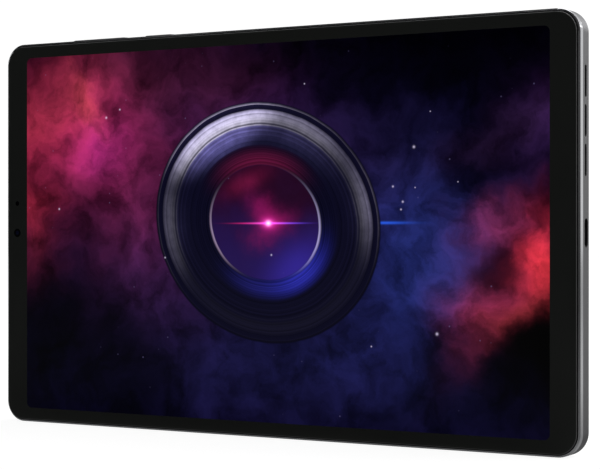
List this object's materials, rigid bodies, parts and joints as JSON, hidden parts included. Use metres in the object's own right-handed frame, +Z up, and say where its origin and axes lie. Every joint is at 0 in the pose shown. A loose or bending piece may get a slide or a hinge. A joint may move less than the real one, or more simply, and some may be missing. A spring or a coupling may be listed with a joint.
{
  "type": "tablet computer",
  "caption": "Compact landscape tablet computer with a metal body, sprung side keys, a card tray, stereo speakers and a rear camera island, opened up piece by piece.",
  "frame": {"origin": "middle of the lower long edge, at mid thickness, on the surface that the tablet stands on", "axes": "+X along the length towards the port, +Z up the screen, +Y out of the back, so the screen faces -Y"},
  "size_m": [0.2074, 0.0091, 0.1288],
  "materials": {
    "glass": "polished, black by what lies behind it",
    "bezel_ink": "gloss black screen print",
    "clear_adhesive": "clear, soft",
    "lcd": "lit picture under clear adhesive",
    "diffuser": "white, satin",
    "led_board": "white board with yellow emitters",
    "stamped_steel": "satin",
    "foam": "matt closed cell foam",
    "flex": "amber film",
    "black_adhesive": "matt",
    "anodised": "dark grey anodised, fine blasted, polished bevel",
    "graphite": "dark grey satin sheet",
    "island_metal": "dark anodised, turned edge",
    "lens_glass": "coated, polished",
    "flash_lens": "clear ridged",
    "flash_chip": "yellow phosphor on white",
    "black_plastic": "fine moulded texture",
    "circuit_board": "dark green solder mask",
    "chip": "matt epoxy",
    "shield": "tinned, satin",
    "thermal_pad": "soft, grey blue",
    "copper": "satin copper",
    "pouch": "laminated foil pouch, black film",
    "white_tape": "satin",
    "gold_foil": "plated",
    "tungsten": "sintered, satin",
    "spring_steel": "bright",
    "cable": "black jacket",
    "screw_steel": "dark zinc plated"
  },
  "bodies": {
    "housing": {"cover_glass": "glass", "bezel_print": "bezel_ink", "optical_adhesive": "clear_adhesive", "lcd_cell": "lcd", "light_guide": "diffuser", "led_strip": "led_board", "backlight_tray": "stamped_steel", "display_foam": "foam", "display_flex": "flex", "glass_adhesive": "black_adhesive", "midframe": "anodised", "rear_cover": "anodised", "rear_adhesive": "black_adhesive", "graphite_sheet": "graphite", "camera_island": "island_metal", "camera_window": "lens_glass", "camera_body": "black_plastic", "flash_window": "flash_lens", "flash_led": "flash_chip", "front_camera": "black_plastic", "light_sensor": "black_plastic", "mainboard": "circuit_board", "mainboard_chips": "chip", "shield_cans": "shield", "board_connectors": "black_plastic", "thermal_pad": "thermal_pad", "vapour_chamber": "copper", "battery_cells": "pouch", "battery_board": "circuit_board", "battery_tape": "white_tape", "main_flex": "flex", "usb_board": "circuit_board", "usb_shell": "stamped_steel", "usb_tongue": "black_plastic", "speaker_boxes": "black_plastic", "speaker_drivers": "stamped_steel", "speaker_meshes": "foam", "haptic_case": "stamped_steel", "power_dome": "spring_steel", "volume_domes": "spring_steel", "key_flex": "flex", "key_bracket": "stamped_steel", "card_reader": "shield", "lever_pin": "spring_steel", "antenna_carriers": "black_plastic", "antenna_foils": "gold_foil", "antenna_cable": "cable", "microphones": "gold_foil", "board_screws": "screw_steel"},
    "power_key": {"power_key": "anodised"},
    "volume_key": {"volume_key": "anodised"},
    "card_tray": {"card_tray": "anodised"},
    "eject_rod": {"eject_rod": "spring_steel"},
    "eject_lever": {"eject_lever": "spring_steel"},
    "haptic_mass": {"haptic_mass": "tungsten"},
    "camera_lens": {"camera_lens": "black_plastic"},
    "left_diaphragm": {"left_diaphragm": "black_plastic"},
    "right_diaphragm": {"right_diaphragm": "black_plastic"}
  },
  "joints": [
    {"name": "power_key_press", "type": "slide", "parent": "housing", "child": "power_key", "axis": [0, 0, -1], "range_m": [0, 0.0003], "stiffness_N_per_m": 4000, "deforming": ["power_dome"]},
    {"name": "volume_key_rock", "type": "hinge", "parent": "housing", "child": "volume_key", "pos_m": [-0.0673, 0.001, 0.12505], "axis": [0, 1, 0], "range_deg": [-1.2, 1.2], "stiffness_Nm_per_rad": 4, "deforming": ["volume_domes"]},
    {"name": "card_tray_slide", "type": "slide", "parent": "housing", "child": "card_tray", "axis": [-1, 0, 0], "range_m": [0, 0.022]},
    {"name": "eject_rod_push", "type": "slide", "parent": "housing", "child": "eject_rod", "axis": [1, 0, 0], "range_m": [0, 0.0015]},
    {"name": "eject_lever_turn", "type": "hinge", "parent": "housing", "child": "eject_lever", "pos_m": [-0.0826, 0.001, 0.0875], "axis": [0, -1, 0], "range_deg": [0, 15]},
    {"name": "haptic_mass_shake", "type": "slide", "parent": "housing", "child": "haptic_mass", "axis": [0, 0, 1], "range_m": [-0.0006, 0.0006], "stiffness_N_per_m": 2500},
    {"name": "camera_lens_focus", "type": "slide", "parent": "housing", "child": "camera_lens", "axis": [0, 1, 0], "range_m": [-0.0001, 0.0002], "stiffness_N_per_m": 500},
    {"name": "left_diaphragm_move", "type": "slide", "parent": "housing", "child": "left_diaphragm", "axis": [0, -1, 0], "range_m": [-0.00025, 0.00025], "stiffness_N_per_m": 600},
    {"name": "right_diaphragm_move", "type": "slide", "parent": "housing", "child": "right_diaphragm", "axis": [0, -1, 0], "range_m": [-0.00025, 0.00025], "stiffness_N_per_m": 600}
  ],
  "couplings": [
    {"joint": "eject_lever_turn", "follows": "eject_rod_push", "rad_per_m": 172.41}
  ]
}
